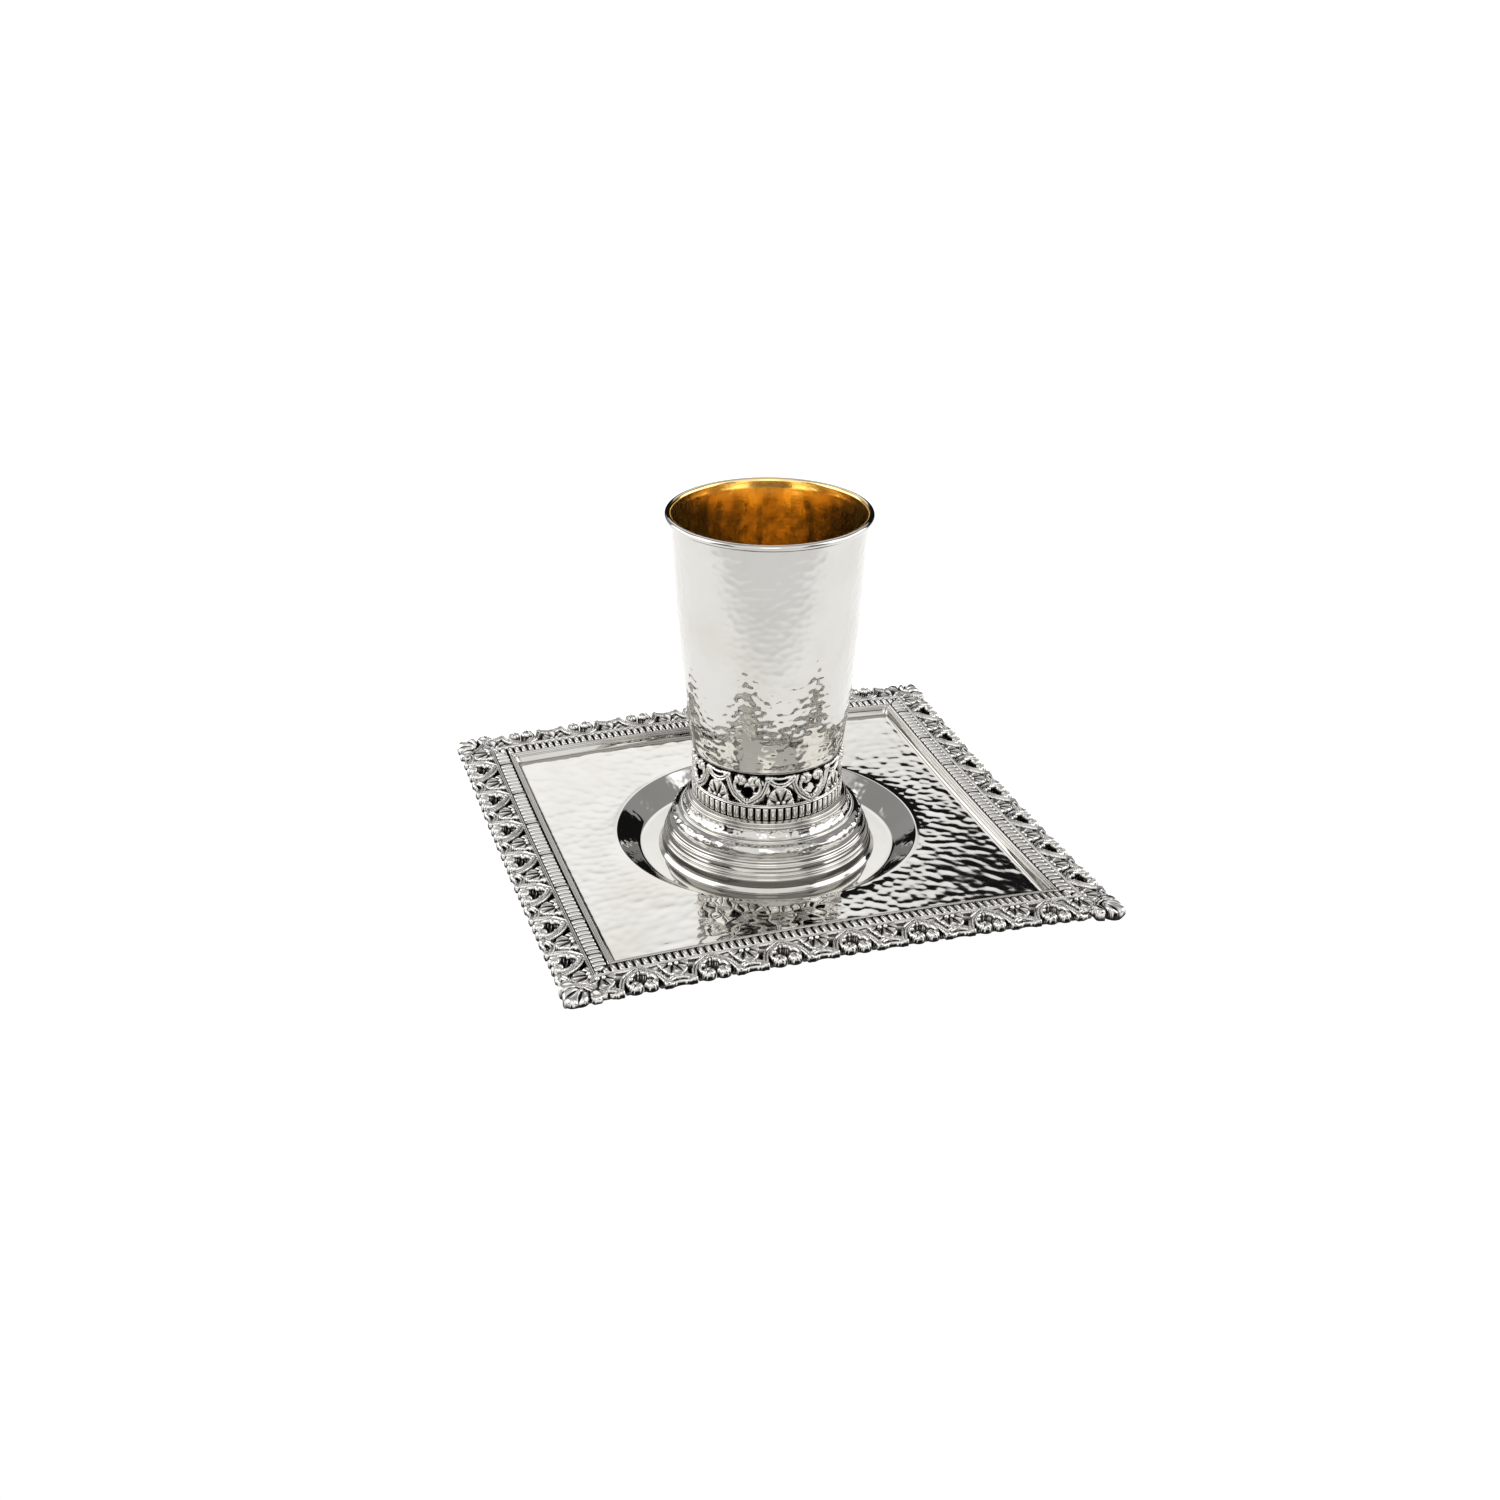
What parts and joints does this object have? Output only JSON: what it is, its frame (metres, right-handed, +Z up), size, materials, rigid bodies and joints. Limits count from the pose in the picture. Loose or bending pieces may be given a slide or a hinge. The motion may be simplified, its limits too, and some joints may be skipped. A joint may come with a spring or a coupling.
{
  "type": "kiddush cup on a square saucer",
  "caption": "Tapered hammered silver kiddush cup with a rolled rim, pierced collar and stepped foot, standing in the round well of a square saucer with a cast pierced border.",
  "frame": {"origin": "centre of the saucer's flat underside, on the table", "axes": "+Z up along the cup's axis, +X to the right and -Y towards the front, each square to a side of the saucer"},
  "size_m": [0.18, 0.18, 0.1192],
  "materials": {
    "bowl_silver": "planished silver, polished bright, gilt inside",
    "foot_silver": "spun silver, polished bright, hammered on the torus",
    "plate_silver": "hammered silver sheet, polished bright",
    "cast_silver": "cast silver, oxidised in the recesses and buffed on the high points"
  },
  "bodies": {
    "root": {"cup_bowl": "bowl_silver", "cup_collar": "cast_silver", "cup_foot": "foot_silver", "tray_plate": "plate_silver", "tray_border_back": "cast_silver", "tray_border_left": "cast_silver", "tray_border_front": "cast_silver", "tray_border_right": "cast_silver"}
  },
  "joints": []
}
